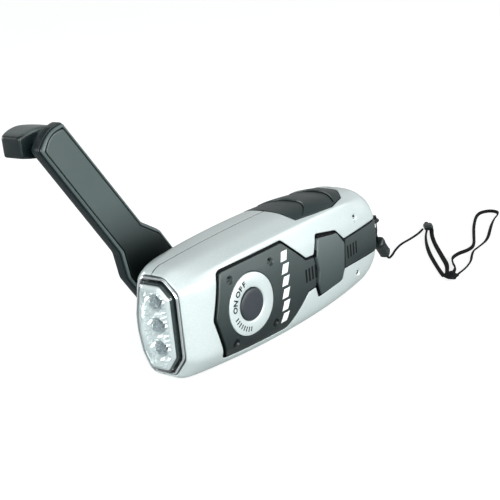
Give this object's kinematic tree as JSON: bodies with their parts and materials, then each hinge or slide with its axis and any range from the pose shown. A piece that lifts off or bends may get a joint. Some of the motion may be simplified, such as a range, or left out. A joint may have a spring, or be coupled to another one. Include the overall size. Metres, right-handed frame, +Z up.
{
  "type": "hand-crank LED flashlight",
  "caption": "Rugged hand-crank LED flashlight with a faceted lens, unfolded winding crank, push switch, rubber grip pad and wrist strap.",
  "frame": {"origin": "on the flat narrow side that the body rests on, 75 mm behind the lens rim plane, in the body's mid plane", "axes": "+X from the lens towards the tail, +Y from the button side towards the crank side, +Z up; -X is where it shines"},
  "size_m": [0.3092, 0.1009, 0.1158],
  "materials": {
    "silver_paint": "silver painted ABS, satin",
    "graphite": "graphite satin ABS",
    "black_plastic": "black satin ABS",
    "soft_rubber": "soft moulded rubber",
    "clear_lens": "clear polycarbonate",
    "chromed_plastic": "chromed ABS, mirror finish",
    "led_epoxy": "water-clear epoxy",
    "laminate": "green circuit laminate",
    "plated_steel": "plated steel",
    "brass": "turned brass",
    "acetal": "white acetal",
    "ferrite": "sintered ferrite",
    "copper": "enamelled copper wire, wound",
    "cell_sleeve": "shrink sleeve over nickel cells",
    "strap_cord": "woven polyester"
  },
  "bodies": {
    "casing": {"front_shell": "silver_paint", "back_shell": "silver_paint", "lens_bezel": "chromed_plastic", "lens_cover": "clear_lens", "control_panel": "graphite", "tail_panel": "graphite", "panel_bridge": "graphite", "button_ring": "silver_paint", "grip_insert": "soft_rubber", "shaft_bush": "acetal", "lanyard_bail": "plated_steel", "reflector": "chromed_plastic", "led_1": "led_epoxy", "led_2": "led_epoxy", "led_3": "led_epoxy", "led_board": "laminate", "lens_gasket": "soft_rubber", "tact_switch": "black_plastic", "circuit_board": "laminate", "gear_frame": "black_plastic", "gear_axle": "plated_steel", "stator_core": "plated_steel", "stator_coil": "copper", "battery_cell_1": "cell_sleeve", "battery_cell_2": "cell_sleeve", "battery_cell_3": "cell_sleeve", "battery_cradle": "black_plastic", "panel_screw_1": "plated_steel", "panel_screw_2": "plated_steel", "panel_screw_3": "plated_steel", "panel_screw_4": "plated_steel", "shell_screw_1": "plated_steel", "shell_screw_2": "plated_steel", "strap_ring": "plated_steel", "strap_lead": "strap_cord", "strap_bead": "black_plastic", "strap_thin_cord": "strap_cord", "strap_clasp": "black_plastic", "strap_stop_knot": "strap_cord", "strap_band_left": "strap_cord", "strap_band_right": "strap_cord", "strap_knot": "strap_cord", "strap_loop": "strap_cord"},
    "crank": {"crank_arm": "black_plastic", "crank_arm_cover": "black_plastic", "crank_shaft": "plated_steel", "drive_gear": "acetal", "hub_screw": "plated_steel", "knob_pin": "plated_steel"},
    "knob": {"crank_knob": "black_plastic"},
    "button": {"power_button": "black_plastic"},
    "idler": {"idler_gear": "acetal"},
    "rotor": {"rotor_shaft": "plated_steel", "rotor_magnet": "ferrite", "rotor_pinion": "brass"}
  },
  "joints": [
    {"name": "crank_spin", "type": "hinge", "parent": "casing", "child": "crank", "pos_m": [-0.039, 0.0272, 0.0274], "axis": [0, 1, 0], "continuous": true},
    {"name": "knob_spin", "type": "hinge", "parent": "crank", "child": "knob", "pos_m": [-0.09373, 0.036, 0.10809], "axis": [0, 1, 0], "continuous": true},
    {"name": "button_press", "type": "slide", "parent": "casing", "child": "button", "axis": [0.0648, 0.9979, 0], "range_m": [0, 0.0015], "stiffness_N_per_m": 1400, "springref_m": -0.0005},
    {"name": "idler_spin", "type": "hinge", "parent": "casing", "child": "idler", "pos_m": [-0.02388, 0.0104, 0.0274], "axis": [0, 1, 0], "continuous": true},
    {"name": "rotor_spin", "type": "hinge", "parent": "casing", "child": "rotor", "pos_m": [-0.01126, 0.0104, 0.0274], "axis": [0, 1, 0], "continuous": true}
  ],
  "couplings": [
    {"joint": "idler_spin", "follows": "crank_spin", "ratio": -4},
    {"joint": "rotor_spin", "follows": "crank_spin", "ratio": 16}
  ]
}
